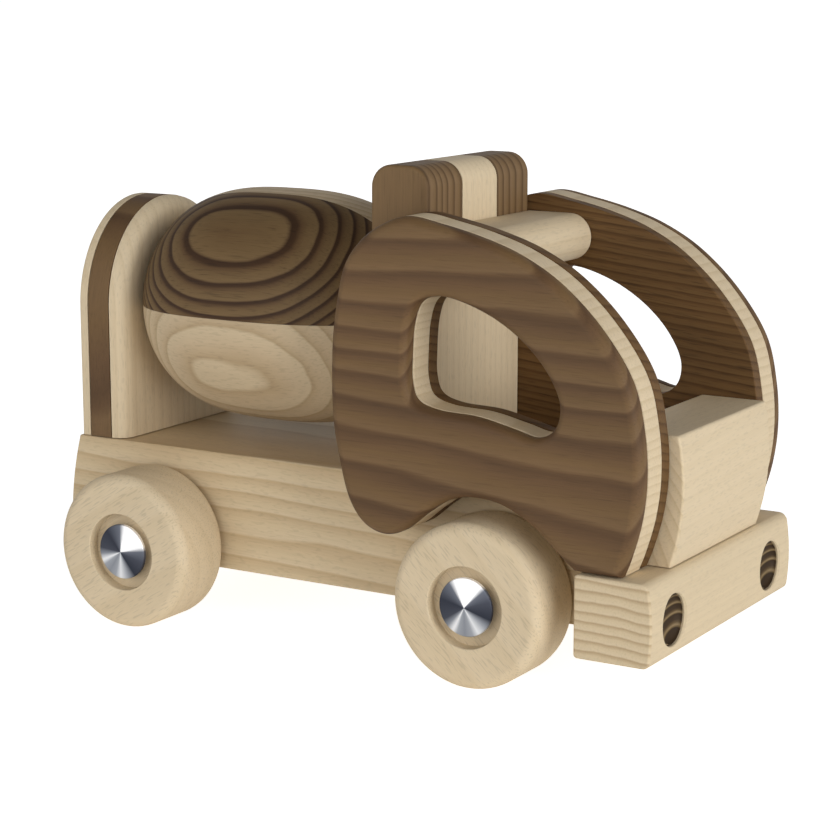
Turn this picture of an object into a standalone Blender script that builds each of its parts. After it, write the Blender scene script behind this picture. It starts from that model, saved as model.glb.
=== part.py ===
"""Wooden push-along mixer lorry, glued up from beech and heat-treated ash.

+X points to the front, +Z up, and the origin is the middle of the truck's footprint on the floor.
The driving dimensions below are millimetres. X is measured there from the upright's rear face,
Y from the middle plane and Z from the floor; `world` turns them into metres about the origin.
Pieces that are glued or that touch stand GAP apart.
"""

import math

import bmesh
import bpy
from mathutils import Vector

MM = 0.001
GAP = 0.3
HALF_GAP = GAP / 2

# Whole truck
REAR_X = -5.0
FRONT_X = 191.5
ORIGIN_X = (REAR_X + FRONT_X) / 2
BODY_HALF = 28.0
BUMPER_HALF = 45.0

# Chassis board, whose rear end bulges as one large arc
CHASSIS_BOTTOM = 15.6
CHASSIS_TOP = 49.2
CHASSIS_FRONT = 169.35
REAR_BULGE_Z = 22.0
REAR_BULGE_RADIUS = 96.0

# Upright: three boards glued face to face, with an arched top
UPRIGHT_SEAMS = (0.0, 3.2, 10.7, 15.5)
UPRIGHT_SPRING_Z = 86.8
UPRIGHT_TOP = 117.4
UPRIGHT_ROUND = 4.5

# Drum: a turned barrel of four quarters, dark and light in turn
DRUM_Z = 88.1
DRUM_WIDEST_X = 53.1
DRUM_REAR = 16.3
DRUM_FRONT = 98.6
DRUM_RADIUS = 33.3
DRUM_REAR_REACH = 42.1
DRUM_FRONT_REACH = 47.5
DRUM_FULLNESS = 2.85
DRUM_BORE = 4.5
DRUM_SEAMS = {"upper_far": (0.3, 103.0), "upper_near": (103.0, 180.3),
              "lower_near": (180.3, 283.0), "lower_far": (283.0, 360.3)}
DRUM_STATIONS = 14
PIN_RADIUS = 4.0
PIN_SEAT = 9.0

# Cab sides: three boards each, counted outwards from the chassis side
SIDE_SEAMS = (28.0, 32.5, 40.5, 45.0)
SIDE_ROUND = 2.6
WINDOW_ROUND = 1.1
SIDE_FOOT = ((169.2, 34.4), (182.0, 34.4))
SIDE_KNOTS = (
    (183.9, 39.5), (186.4, 48.5), (187.6, 59.0), (186.8, 71.0), (183.4, 83.9), (174.6, 96.4),
    (163.5, 106.5), (152.2, 112.9), (140.8, 116.8), (129.4, 119.4), (119.7, 120.9), (112.2, 118.5),
    (105.8, 113.9), (101.1, 107.4), (98.7, 97.8), (97.2, 86.0), (97.2, 68.0), (99.5, 54.5),
    (102.4, 45.0), (107.0, 39.1), (113.0, 37.0), (119.0, 38.7), (126.0, 44.2), (133.0, 48.6),
    (141.0, 50.0), (149.4, 48.6), (158.0, 43.9), (164.6, 38.2),
)
WINDOW_KNOTS = (
    (120.4, 84.0), (120.5, 78.0), (122.4, 73.4), (128.6, 71.4), (140.0, 70.8), (150.0, 68.8),
    (157.6, 67.3), (163.2, 70.4), (164.4, 77.0), (160.6, 84.6), (154.0, 91.4), (145.5, 96.8),
    (136.0, 100.3), (129.0, 101.1), (123.5, 99.0), (121.1, 93.0),
)

# Cab back wall, roof beam, top block, bonnet
WALL = (99.5, 114.0)
BLOCK_SPAN = (99.5, 117.0)
BLOCK_BOTTOM = 103.8
BLOCK_TOP = 132.3
BLOCK_SEAM_Y = 9.5
BLOCK_ROUND = 6.0
BEAM_BOTTOM = 103.0
BEAM_TOP = 116.0
BEAM_NOSE = 136.8
HOOD_REAR = 169.65
HOOD_TOP = 68.6
HOOD_BULGE_Z = 54.5
HOOD_BULGE_RADIUS = 62.0
EDGE_ROUND = 1.8

# Bumper beam and its headlamp recesses
BUMPER = (169.65, 190.5)
BUMPER_BOTTOM = 12.5
BUMPER_TOP = 34.4
BUMPER_ROUND = 2.5
LAMP_Y = 31.0
LAMP_Z = 22.2
LAMP_RADIUS = 6.8
LAMP_DEPTH = 2.6
LAMP_PLUG_LENGTH = 8.0

# Wheels and axles
WHEEL_RADIUS = 22.0
WHEEL_FACES = (28.7, 48.2)
WHEEL_X = {"rear": 28.9, "front": 140.0}
WHEEL_OUTER_ROUND = 3.0
WHEEL_INNER_ROUND = 2.5
WHEEL_RECESS_RADIUS = 11.4
WHEEL_RECESS_DEPTH = 2.2
AXLE_RADIUS = 2.5
CAP_RADIUS = 7.8
CAP_RIM = 1.1
CAP_SOCKET = 1.0
TRUCK_HALF = WHEEL_FACES[1]

# Glue dowels: radius, length, and the places of each pair
BUMPER_DOWEL = {"radius": 4.0, "length": 23.0, "y": 13.0, "z": 25.0}
WALL_DOWEL = {"radius": 4.0, "length": 27.0, "y": 14.0, "x": 106.75}
UPRIGHT_DOWEL = {"radius": 2.5, "length": 24.0, "y": 14.0, "x": 6.95}

SIDES = {"near": -1, "far": 1}
FINISHES = {
    "beech": ((0.62, 0.45, 0.28, 1.0), 0.55, 0.0),
    "ash": ((0.165, 0.085, 0.045, 1.0), 0.6, 0.0),
    "steel": ((0.62, 0.62, 0.64, 1.0), 0.25, 1.0),
}
WHEEL_STEPS = 28
CAP_STEPS = 24
ARCH_STEPS = 20
DRUM_STEPS = 9
DOWEL_STEPS = 16
CORNER_STEPS = 4
SPLINE_STEPS = 2


def world(x, y, z):
    """A point given in the driving dimensions, in metres about the origin."""
    return Vector(((x - ORIGIN_X) * MM, y * MM, z * MM))


def placed(axis, u, v, w):
    """Profile point (u, v) at station w along an axis, as x, y, z."""
    if axis == "X":
        return Vector((w, u, v))
    if axis == "Y":
        return Vector((u, w, v))
    return Vector((u, v, w))


def arc(centre, radii, start, end, steps):
    """Points of an elliptic arc, in degrees, both ends included."""
    turns = [math.radians(start + (end - start) * i / steps) for i in range(steps + 1)]
    return [(centre[0] + radii[0] * math.cos(t), centre[1] + radii[1] * math.sin(t)) for t in turns]


def spline(knots, closed, steps):
    """A Catmull-Rom curve through the knots, with steps points for each span."""
    count = len(knots)
    spans = count if closed else count - 1

    def knot(i):
        if closed:
            return Vector(knots[i % count])
        if 0 <= i < count:
            return Vector(knots[i])
        end, inner = (0, 1) if i < 0 else (count - 1, count - 2)
        return 2 * Vector(knots[end]) - Vector(knots[inner])

    points = []
    for i in range(spans):
        a, b, c, d = (knot(i + k) for k in (-1, 0, 1, 2))
        for step in range(steps):
            t = step / steps
            points.append(0.5 * (2 * b + (c - a) * t + (2 * a - 5 * b + 4 * c - d) * t * t
                                 + (3 * b - a - 3 * c + d) * t ** 3))
    if not closed:
        points.append(Vector(knots[-1]))
    return [tuple(p) for p in points]


def rounded_rectangle(low, high, radius, steps=CORNER_STEPS):
    """A rectangle's outline, anticlockwise, with round corners."""
    (u0, v0), (u1, v1) = low, high
    corners = ((u1 - radius, v0 + radius, -90), (u1 - radius, v1 - radius, 0),
               (u0 + radius, v1 - radius, 90), (u0 + radius, v0 + radius, 180))
    return [p for u, v, start in corners
            for p in arc((u, v), (radius, radius), start, start + 90, steps)]


def inset(loop, distance):
    """An anticlockwise loop moved inwards by a distance, along the mean normal at each point."""
    moved = []
    for i, here in enumerate(loop):
        before = Vector(here) - Vector(loop[i - 1])
        after = Vector(loop[(i + 1) % len(loop)]) - Vector(here)
        normal = before.normalized() + after.normalized()
        normal = Vector((-normal.y, normal.x)).normalized()
        edge_normal = Vector((-before.y, before.x)).normalized()
        moved.append(tuple(Vector(here) + normal * distance / max(normal.dot(edge_normal), 0.5)))
    return moved


def round_over(station, inwards, radius, hole_radius, steps=2):
    """Levels (station, inset, hole inset) of a quarter round, running from the side to the face."""
    levels = []
    for i in range(steps + 1):
        turn = math.pi / 2 * i / steps
        back = 1 - math.sin(turn)
        levels.append((station + inwards * radius * back, radius * (1 - math.cos(turn)),
                       hole_radius * (1 - math.cos(turn))))
    return levels


def plate(axis, outline, levels, holes=()):
    """A board: an outline and its holes carried through levels (station, inset, hole inset)."""
    bm = bmesh.new()
    for loop, is_hole in [(outline, False)] + [(hole, True) for hole in holes]:
        rings = []
        for station, outer_inset, hole_inset in levels:
            ring = inset(loop, -hole_inset if is_hole else outer_inset)
            rings.append([bm.verts.new(placed(axis, u, v, station) * MM) for u, v in ring])
        for low, high in zip(rings, rings[1:]):
            for i in range(len(low)):
                j = (i + 1) % len(low)
                bm.faces.new((low[i], low[j], high[j], high[i]))
        for end in (rings[0], rings[-1]):
            for i in range(len(end)):
                if not bm.edges.get((end[i], end[(i + 1) % len(end)])):
                    bm.edges.new((end[i], end[(i + 1) % len(end)]))
    open_edges = [edge for edge in bm.edges if len(edge.link_faces) == 1]
    for station in (levels[0][0], levels[-1][0]):
        index = "XYZ".index(axis)
        rim = [e for e in open_edges if abs(e.verts[0].co[index] - station * MM) < 1e-7]
        bmesh.ops.triangle_fill(bm, edges=rim, use_beauty=True, use_dissolve=False)
    return bm


def turned(axis, profile, steps, start=0.0, sweep=360.0):
    """A closed section (station, radius) turned about an axis through the object's own origin."""
    bm = bmesh.new()
    whole = sweep == 360.0
    rings = []
    for i in range(steps if whole else steps + 1):
        turn = math.radians(start + sweep * i / steps)
        across, up = math.cos(turn), math.sin(turn)
        if axis == "Y":
            across, up = up, across
        rings.append([bm.verts.new(placed(axis, radius * across, radius * up, along) * MM)
                      for along, radius in profile])
    pairs = list(zip(rings, rings[1:]))
    if whole:
        pairs.append((rings[-1], rings[0]))
    else:
        bm.faces.new(rings[0])
        bm.faces.new(rings[-1])
    for here, there in pairs:
        for i in range(len(profile)):
            j = (i + 1) % len(profile)
            bm.faces.new((here[i], here[j], there[j], there[i]))
    bmesh.ops.remove_doubles(bm, verts=bm.verts, dist=1e-6)
    return bm


def finish_for(name, kind):
    """A Principled material of the piece's own."""
    colour, roughness, metallic = FINISHES[kind]
    material = bpy.data.materials.new(f"{name}_{kind}")
    material.use_nodes = True
    shader = material.node_tree.nodes["Principled BSDF"]
    shader.inputs["Base Color"].default_value = colour
    shader.inputs["Roughness"].default_value = roughness
    shader.inputs["Metallic"].default_value = metallic
    return material


def add_part(name, bm, kind, at=(ORIGIN_X, 0.0, 0.0), parent=None):
    """Turns a bmesh into the named object, which stands at the point `at`."""
    bmesh.ops.recalc_face_normals(bm, faces=bm.faces)
    mesh = bpy.data.meshes.new(name)
    bm.to_mesh(mesh)
    bm.free()
    mesh.shade_smooth()
    mesh.set_sharp_from_angle(angle=math.radians(35))
    mesh.materials.append(finish_for(name, kind))
    part = bpy.data.objects.new(name, mesh)
    bpy.context.scene.collection.objects.link(part)
    part.location = world(*at)
    if parent:
        part.parent = parent
        part.location = world(*at) - parent.location
    return part


def drill(part, axis, centre, radius, start, end):
    """Cuts a round hole through a part, from one station on an axis to another."""
    profile = [(start, 0.0), (start, radius), (end, radius), (end, 0.0)]
    bm = turned(axis, profile, DOWEL_STEPS)
    bmesh.ops.dissolve_degenerate(bm, dist=1e-7, edges=bm.edges)
    bmesh.ops.recalc_face_normals(bm, faces=bm.faces)
    mesh = bpy.data.meshes.new(f"{part.name}_cutter")
    bm.to_mesh(mesh)
    bm.free()
    cutter = bpy.data.objects.new(mesh.name, mesh)
    bpy.context.scene.collection.objects.link(cutter)
    cutter.location = world(*centre)
    cutter.hide_render = True
    cutter.display_type = "WIRE"
    cut = part.modifiers.new("hole", "BOOLEAN")
    cut.operation = "DIFFERENCE"
    cut.object = cutter


def dowel(name, axis, kind, centre, radius, length):
    """A round rod with chamfered ends, centred on a point."""
    half = length / 2
    chamfer = min(0.5, radius / 4)
    profile = [(-half, 0.0), (-half, radius - chamfer), (-half + chamfer, radius),
               (half - chamfer, radius), (half, radius - chamfer), (half, 0.0)]
    bm = turned(axis, profile, DOWEL_STEPS)
    bmesh.ops.dissolve_degenerate(bm, dist=1e-7, edges=bm.edges)
    return add_part(name, bm, kind, centre)


def local(outline):
    """An outline in X and Z moved so that X is measured from the origin."""
    return [(x - ORIGIN_X, z) for x, z in outline]


def straight(low, high):
    """The two levels of a board with square edges."""
    return [(low, 0.0, 0.0), (high, 0.0, 0.0)]


def bulged_end(x, middle_z, radius, low, high, forwards, steps=6):
    """Points up an end that bulges as an arc of large radius whose furthest point is x."""
    points = []
    for i in range(steps + 1):
        z = low + (high - low) * i / steps
        sagitta = radius - math.sqrt(radius ** 2 - (z - middle_z) ** 2)
        points.append((x - sagitta if forwards else x + sagitta, z))
    return points


def build_chassis():
    """The board that everything is glued to, bored for two axles and six dowels."""
    top = CHASSIS_TOP - HALF_GAP
    half = BODY_HALF - HALF_GAP
    rear = bulged_end(REAR_X, REAR_BULGE_Z, REAR_BULGE_RADIUS, CHASSIS_BOTTOM, top, False)
    outline = [(CHASSIS_FRONT, CHASSIS_BOTTOM), (CHASSIS_FRONT, top)] + rear[::-1]
    board = add_part("chassis_board", plate("Y", local(outline), straight(-half, half)), "beech")
    for x in WHEEL_X.values():
        drill(board, "Y", (x, 0, WHEEL_RADIUS), AXLE_RADIUS + GAP, -TRUCK_HALF, TRUCK_HALF)
    for dowels, end in ((WALL_DOWEL, top), (UPRIGHT_DOWEL, top)):
        deep = dowels["length"] / 2 + GAP
        for side in SIDES.values():
            drill(board, "Z", (dowels["x"], side * dowels["y"], end), dowels["radius"] + GAP,
                  -deep, deep)
    deep = BUMPER_DOWEL["length"] / 2 + GAP
    for side in SIDES.values():
        drill(board, "X", (CHASSIS_FRONT, side * BUMPER_DOWEL["y"], BUMPER_DOWEL["z"]),
              BUMPER_DOWEL["radius"] + GAP, -deep, deep)


def build_upright():
    """Three arched boards; the front one has its front edge rounded over."""
    half = BODY_HALF
    foot = CHASSIS_TOP + HALF_GAP
    arch = arc((0, UPRIGHT_SPRING_Z), (half, UPRIGHT_TOP - UPRIGHT_SPRING_Z), 0, 180, ARCH_STEPS)
    outline = [(-half, foot), (half, foot)] + arch
    rear, first, second, front = (x - ORIGIN_X for x in UPRIGHT_SEAMS)
    rounded = [(second + HALF_GAP, 0.0, 0.0)] + round_over(front, -1, UPRIGHT_ROUND, 0.0)
    layers = (("upright_back_layer", "beech", straight(rear, first - HALF_GAP)),
              ("upright_middle_layer", "ash", straight(first + HALF_GAP, second - HALF_GAP)),
              ("upright_front_layer", "beech", rounded))
    boards = {}
    for name, kind, levels in layers:
        bm = plate("X", outline, levels)
        floor_z = foot * MM  # the round-over leaves the foot alone, so its points go back down
        for vertex in bm.verts:
            vertex.co.z = max(vertex.co.z, floor_z)
            if vertex.co.z < (foot + UPRIGHT_ROUND + 1) * MM:
                vertex.co.z = floor_z
        boards[name] = add_part(name, bm, kind)
    for side in SIDES.values():
        drill(boards["upright_middle_layer"], "Z", (UPRIGHT_DOWEL["x"], side * UPRIGHT_DOWEL["y"], foot),
              UPRIGHT_DOWEL["radius"] + GAP, -UPRIGHT_DOWEL["length"], UPRIGHT_DOWEL["length"] / 2 + GAP)
    pin_end = UPRIGHT_SEAMS[-1] - PIN_SEAT
    for name in ("upright_front_layer", "upright_middle_layer"):
        drill(boards[name], "X", (pin_end, 0, DRUM_Z), PIN_RADIUS + GAP, -GAP, 2 * PIN_SEAT)


def drum_radius(x):
    """The barrel's radius: a full curve that falls away to each end."""
    reach = DRUM_REAR_REACH if x < DRUM_WIDEST_X else DRUM_FRONT_REACH
    return DRUM_RADIUS * math.sqrt(1 - (abs(x - DRUM_WIDEST_X) / reach) ** DRUM_FULLNESS)


def build_drum():
    """Four wedges round one bore, each standing half a gap off both of its glue planes."""
    axle = bpy.data.objects.new("drum_axis", None)
    bpy.context.scene.collection.objects.link(axle)
    axle.location = world(DRUM_WIDEST_X, 0, DRUM_Z)
    stations = [DRUM_REAR + (DRUM_FRONT - DRUM_REAR) * (1 - math.cos(math.pi * i / DRUM_STATIONS)) / 2
                for i in range(DRUM_STATIONS + 1)]
    profile = [(x - DRUM_WIDEST_X, drum_radius(x)) for x in stations]
    profile += [(profile[-1][0], DRUM_BORE), (profile[0][0], DRUM_BORE)]
    for place, (start, end) in DRUM_SEAMS.items():
        bm = turned("X", profile, DRUM_STEPS, start, end - start)
        middle = math.radians((start + end) / 2)
        away = HALF_GAP / math.sin(math.radians((end - start) / 2))
        shift = Vector((0, math.cos(middle), math.sin(middle))) * away * MM
        bmesh.ops.translate(bm, verts=bm.verts, vec=shift)
        kind = "ash" if place in ("upper_near", "lower_far") else "beech"
        add_part(f"drum_quarter_{place}", bm, kind, (DRUM_WIDEST_X, 0, DRUM_Z), axle)
    start = UPRIGHT_SEAMS[-1] - PIN_SEAT
    end = WALL[0] + PIN_SEAT
    dowel("drum_pin", "X", "beech", ((start + end) / 2, 0, DRUM_Z), PIN_RADIUS, end - start)


def side_outline():
    """The cab side's outline, anticlockwise from the rear of its foot on the bumper."""
    lift = HALF_GAP
    rear_foot, front_foot = ((x, z + lift) for x, z in SIDE_FOOT)
    return [rear_foot] + spline((front_foot,) + SIDE_KNOTS + (rear_foot,), False, SPLINE_STEPS)[:-1]


def build_cab_sides():
    """Three boards on each side, with the same window and wheel arch in each."""
    outline = local(side_outline())
    window = local(spline(WINDOW_KNOTS[::-1], True, SPLINE_STEPS))
    layers = (("inner", "ash"), ("middle", "beech"), ("outer", "ash"))
    for side, sign in SIDES.items():
        for (layer, kind), low, high in zip(layers, SIDE_SEAMS, SIDE_SEAMS[1:]):
            levels = straight(low + HALF_GAP, high - HALF_GAP)
            if layer == "outer":
                levels = [levels[0]] + round_over(high, -1, SIDE_ROUND, WINDOW_ROUND)
            levels = [(sign * station, edge, hole) for station, edge, hole in levels]
            bm = plate("Y", outline, levels, (window,))
            add_part(f"{side}_side_{layer}", bm, kind)


def build_cab_frame():
    """The back wall, the three blocks on the roof and the round-nosed beam."""
    half = BODY_HALF - HALF_GAP
    low = (WALL[0], CHASSIS_TOP + HALF_GAP)
    high = (WALL[1], BLOCK_BOTTOM - HALF_GAP)
    wall = add_part("cab_back_wall", plate("Y", local(rounded_rectangle(low, high, 0.3, 1)),
                                           straight(-half, half)), "beech")
    drill(wall, "X", (WALL[0], 0, DRUM_Z), PIN_RADIUS + GAP, -PIN_SEAT, PIN_SEAT + GAP)
    deep = WALL_DOWEL["length"] / 2 + GAP
    for side in SIDES.values():
        drill(wall, "Z", (WALL_DOWEL["x"], side * WALL_DOWEL["y"], low[1]),
              WALL_DOWEL["radius"] + GAP, -deep, deep)

    rear, front = BLOCK_SPAN
    low_z, high_z, r = BLOCK_BOTTOM + HALF_GAP, BLOCK_TOP, BLOCK_ROUND
    outline = ([(rear, low_z), (front, low_z)]
               + arc((front - r, high_z - r), (r, r), 0, 90, 6)
               + arc((rear + r, high_z - r), (r, r), 90, 180, 6))
    spans = {"near": (-half, -BLOCK_SEAM_Y - HALF_GAP), "far": (BLOCK_SEAM_Y + HALF_GAP, half),
             "middle": (-BLOCK_SEAM_Y + HALF_GAP, BLOCK_SEAM_Y - HALF_GAP)}
    for place, (start, end) in spans.items():
        kind = "beech" if place == "middle" else "ash"
        add_part(f"top_block_{place}", plate("Y", local(outline), straight(start, end)), kind)

    radius = (BEAM_TOP - BEAM_BOTTOM) / 2
    nose = arc((BEAM_NOSE - radius, BEAM_BOTTOM + radius), (radius, radius), -90, 90, 10)
    outline = nose + [(front + GAP, BEAM_TOP), (front + GAP, BEAM_BOTTOM)]
    add_part("roof_beam", plate("Y", local(outline), straight(-half, half)), "beech")


def build_front():
    """The bonnet, the bumper beam under it, and the bumper's plugs."""
    half = BODY_HALF - HALF_GAP
    low_z = BUMPER_TOP + HALF_GAP
    r = EDGE_ROUND
    front = bulged_end(FRONT_X, HOOD_BULGE_Z, HOOD_BULGE_RADIUS, low_z, HOOD_TOP - r, True)
    brow = arc((front[-1][0] - r, HOOD_TOP - r), (r, r), 0, 90, 3)[1:]
    back = arc((HOOD_REAR + r, HOOD_TOP - r), (r, r), 90, 180, 3)
    outline = front + brow + back + [(HOOD_REAR, low_z)]
    levels = [(-half, r / 2, 0.0), (-half + r / 2, 0.0, 0.0), (half - r / 2, 0.0, 0.0), (half, r / 2, 0.0)]
    add_part("hood_block", plate("Y", local(outline), levels), "beech")

    r = BUMPER_ROUND
    low = (BUMPER[0], BUMPER_BOTTOM)
    high = (BUMPER[1], BUMPER_TOP - HALF_GAP)
    outline = [low] + arc((high[0] - r, low[1] + r), (r, r), -90, 0, 3)
    outline += arc((high[0] - r, high[1] - r), (r, r), 0, 90, 3) + [(low[0], high[1])]
    chamfer = 1.0
    levels = [(-BUMPER_HALF, chamfer, 0.0), (-BUMPER_HALF + chamfer, 0.0, 0.0),
              (BUMPER_HALF - chamfer, 0.0, 0.0), (BUMPER_HALF, chamfer, 0.0)]
    bumper = add_part("bumper", plate("Y", local(outline), levels), "beech")
    plug_end = BUMPER[1] - LAMP_DEPTH - LAMP_PLUG_LENGTH
    for side, sign in SIDES.items():
        drill(bumper, "X", (plug_end, sign * LAMP_Y, LAMP_Z), LAMP_RADIUS, -GAP, BUMPER[1])
        centre = (plug_end + LAMP_PLUG_LENGTH / 2, sign * LAMP_Y, LAMP_Z)
        dowel(f"headlamp_plug_{side}", "X", "ash", centre, LAMP_RADIUS - GAP, LAMP_PLUG_LENGTH)
        centre = (BUMPER[0], sign * BUMPER_DOWEL["y"], BUMPER_DOWEL["z"])
        deep = BUMPER_DOWEL["length"] / 2
        drill(bumper, "X", centre, BUMPER_DOWEL["radius"] + GAP, -deep, deep + GAP)
        dowel(f"bumper_dowel_{side}", "X", "beech", centre, BUMPER_DOWEL["radius"],
              BUMPER_DOWEL["length"])


def build_glue_dowels():
    """The upright dowels that stand in the chassis board."""
    for name, dowels in (("upright_dowel", UPRIGHT_DOWEL), ("wall_dowel", WALL_DOWEL)):
        for side, sign in SIDES.items():
            dowel(f"{name}_{side}", "Z", "beech", (dowels["x"], sign * dowels["y"], CHASSIS_TOP),
                  dowels["radius"], dowels["length"])


def wheel_profile():
    """The wheel's section: stations run outwards from its middle plane."""
    half = (WHEEL_FACES[1] - WHEEL_FACES[0]) / 2
    bore = AXLE_RADIUS + GAP
    floor = half - WHEEL_RECESS_DEPTH
    outer = arc((half - WHEEL_OUTER_ROUND, WHEEL_RADIUS - WHEEL_OUTER_ROUND),
                (WHEEL_OUTER_ROUND, WHEEL_OUTER_ROUND), 0, 90, 4)
    inner = arc((-half + WHEEL_INNER_ROUND, WHEEL_RADIUS - WHEEL_INNER_ROUND),
                (WHEEL_INNER_ROUND, WHEEL_INNER_ROUND), 90, 180, 2)
    return ([(floor, bore), (floor, WHEEL_RECESS_RADIUS), (half, WHEEL_RECESS_RADIUS)]
            + outer + inner + [(-half, bore)])


def cap_profile(floor):
    """The cap's section: a shallow cone over a rim, with a socket for the axle's end."""
    under = floor + GAP
    top = WHEEL_FACES[1]
    socket = AXLE_RADIUS + GAP
    return [(under + CAP_SOCKET, 0.0), (under + CAP_SOCKET, socket), (under, socket),
            (under, CAP_RADIUS - 0.4), (under + 0.4, CAP_RADIUS), (under + CAP_RIM, CAP_RADIUS),
            (top, 0.0)]


def build_running_gear():
    """Two axles through the chassis, with a wheel and a cap at each end."""
    middle = (WHEEL_FACES[0] + WHEEL_FACES[1]) / 2
    floor = WHEEL_FACES[1] - WHEEL_RECESS_DEPTH
    axle_end = floor + CAP_SOCKET
    for row, x in WHEEL_X.items():
        dowel(f"{row}_axle", "Y", "steel", (x, 0, WHEEL_RADIUS), AXLE_RADIUS, 2 * axle_end)
        for side, sign in SIDES.items():
            profile = [(sign * along, radius) for along, radius in wheel_profile()]
            wheel = turned("Y", profile, WHEEL_STEPS)
            add_part(f"{row}_wheel_{side}", wheel, "beech", (x, sign * middle, WHEEL_RADIUS))
            profile = [(sign * along, radius) for along, radius in cap_profile(floor)]
            cap = turned("Y", profile, CAP_STEPS)
            bmesh.ops.dissolve_degenerate(cap, dist=1e-7, edges=cap.edges)
            add_part(f"{row}_axle_cap_{side}", cap, "steel", (x, 0, WHEEL_RADIUS))


def main():
    """Clears the scene and builds every piece."""
    for existing in list(bpy.data.objects):
        bpy.data.objects.remove(existing)
    build_chassis()
    build_upright()
    build_drum()
    build_cab_sides()
    build_cab_frame()
    build_front()
    build_glue_dowels()
    build_running_gear()


main()
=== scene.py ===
"""The looks of a wooden push-along mixer lorry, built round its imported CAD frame.

Every visible board, turning and cap is made again as a fine surface in the place of its CAD node,
with eased edges, and dressed in a timber or metal finish. Lengths inside the classes are millimetres;
X is counted from the rear face of the upright, Y from the middle plane and Z from the floor.
"""

import logging
import math
from dataclasses import dataclass, field, replace
from enum import Enum
from typing import Any, Sequence

import bpy
import numpy as np
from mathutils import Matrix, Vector


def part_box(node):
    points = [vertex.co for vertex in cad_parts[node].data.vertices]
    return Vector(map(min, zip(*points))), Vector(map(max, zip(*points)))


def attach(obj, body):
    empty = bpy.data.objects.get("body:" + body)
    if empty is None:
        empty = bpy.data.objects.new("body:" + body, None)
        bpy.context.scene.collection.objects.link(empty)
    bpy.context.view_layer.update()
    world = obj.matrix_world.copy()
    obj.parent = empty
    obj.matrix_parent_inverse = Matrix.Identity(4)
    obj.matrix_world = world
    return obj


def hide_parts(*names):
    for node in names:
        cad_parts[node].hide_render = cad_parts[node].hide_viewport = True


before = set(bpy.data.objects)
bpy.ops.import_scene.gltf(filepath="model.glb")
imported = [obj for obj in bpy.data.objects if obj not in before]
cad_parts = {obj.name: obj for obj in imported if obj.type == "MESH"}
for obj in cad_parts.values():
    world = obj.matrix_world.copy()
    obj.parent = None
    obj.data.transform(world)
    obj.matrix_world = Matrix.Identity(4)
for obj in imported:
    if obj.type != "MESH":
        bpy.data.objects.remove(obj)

LOG = logging.getLogger("mixer_lorry")
MM = 0.001
SIDES = {"near": -1.0, "far": 1.0}
SMOOTH_ANGLE = math.radians(32)
Stops = tuple[tuple[float, str], ...]


class Axis(Enum):
    """The world axis that a board's thickness or a turning's centre line follows."""

    X = (2, 0, 1)
    Y = (0, 2, 1)

    def place(self, u: np.ndarray, v: np.ndarray, w: np.ndarray) -> np.ndarray:
        """Stacks profile coordinates u, v and station w into points, in x, y, z order."""
        return np.stack([(u, v, w)[i] for i in self.value], axis=-1)


# ---------------------------------------------------------------------------------------------
# Surfaces
# ---------------------------------------------------------------------------------------------


def smooth_path(knots: Sequence[tuple[float, float]], closed: bool, steps: int) -> np.ndarray:
    """Points on the Catmull-Rom curve through some knots.

    In each span the point is the cubic in t that passes through both knots with the slope of the
    line between their neighbours.

    Args:
        knots: the points that the curve passes through.
        closed: whether the last knot joins the first.
        steps: points for each span.

    Returns:
        An array of points, two columns.
    """
    k = np.asarray(knots, float)
    if closed:
        a, b, c, d = np.roll(k, 1, 0), k, np.roll(k, -1, 0), np.roll(k, -2, 0)
    else:
        whole = np.vstack([2 * k[0] - k[1], k, 2 * k[-1] - k[-2]])
        a, b, c, d = whole[:-3], whole[1:-2], whole[2:-1], whole[3:]
    t = (np.arange(steps) / steps)[None, :, None]
    a, b, c, d = (m[:, None, :] for m in (a, b, c, d))
    curve = 0.5 * (2 * b + (c - a) * t + (2 * a - 5 * b + 4 * c - d) * t**2
                   + (3 * b - a - 3 * c + d) * t**3)
    curve = curve.reshape(-1, 2)
    return curve if closed else np.vstack([curve, k[-1:]])


def arc(centre: tuple[float, float], radii: tuple[float, float], start: float, end: float,
        count: int) -> np.ndarray:
    """Points of an elliptic arc: centre plus radii times cosine and sine of evenly spaced angles.

    Args:
        centre: the ellipse's middle.
        radii: its two half axes.
        start: first angle in degrees.
        end: last angle in degrees.
        count: how many points.

    Returns:
        An array of points, two columns.
    """
    turn = np.radians(np.linspace(start, end, count))
    return np.column_stack([centre[0] + radii[0] * np.cos(turn), centre[1] + radii[1] * np.sin(turn)])


def filleted(corners: Sequence[tuple[float, float, float]], count: int = 7) -> np.ndarray:
    """An anticlockwise outline whose corners are rounded by arcs tangent to both edges.

    Args:
        corners: u, v and radius of each corner; radius 0 keeps it sharp.
        count: points on each arc.

    Returns:
        An array of points, two columns.
    """
    points = np.asarray(corners, float)
    pieces = []
    for i, (u, v, radius) in enumerate(points):
        here = np.array([u, v])
        if radius <= 0:
            pieces.append(here[None])
            continue
        back = points[i - 1, :2] - here
        ahead = points[(i + 1) % len(points), :2] - here
        back, ahead = back / np.linalg.norm(back), ahead / np.linalg.norm(ahead)
        half = math.acos(float(np.clip(back @ ahead, -1, 1))) / 2
        middle = back + ahead
        centre = here + middle / np.linalg.norm(middle) * radius / math.sin(half)
        first = here + back * radius / math.tan(half) - centre
        last = here + ahead * radius / math.tan(half) - centre
        start = math.atan2(first[1], first[0])
        sweep = (math.atan2(last[1], last[0]) - start + math.pi) % (2 * math.pi) - math.pi
        turn = start + sweep * np.linspace(0, 1, count)
        pieces.append(centre + radius * np.column_stack([np.cos(turn), np.sin(turn)]))
    return np.vstack(pieces)


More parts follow.
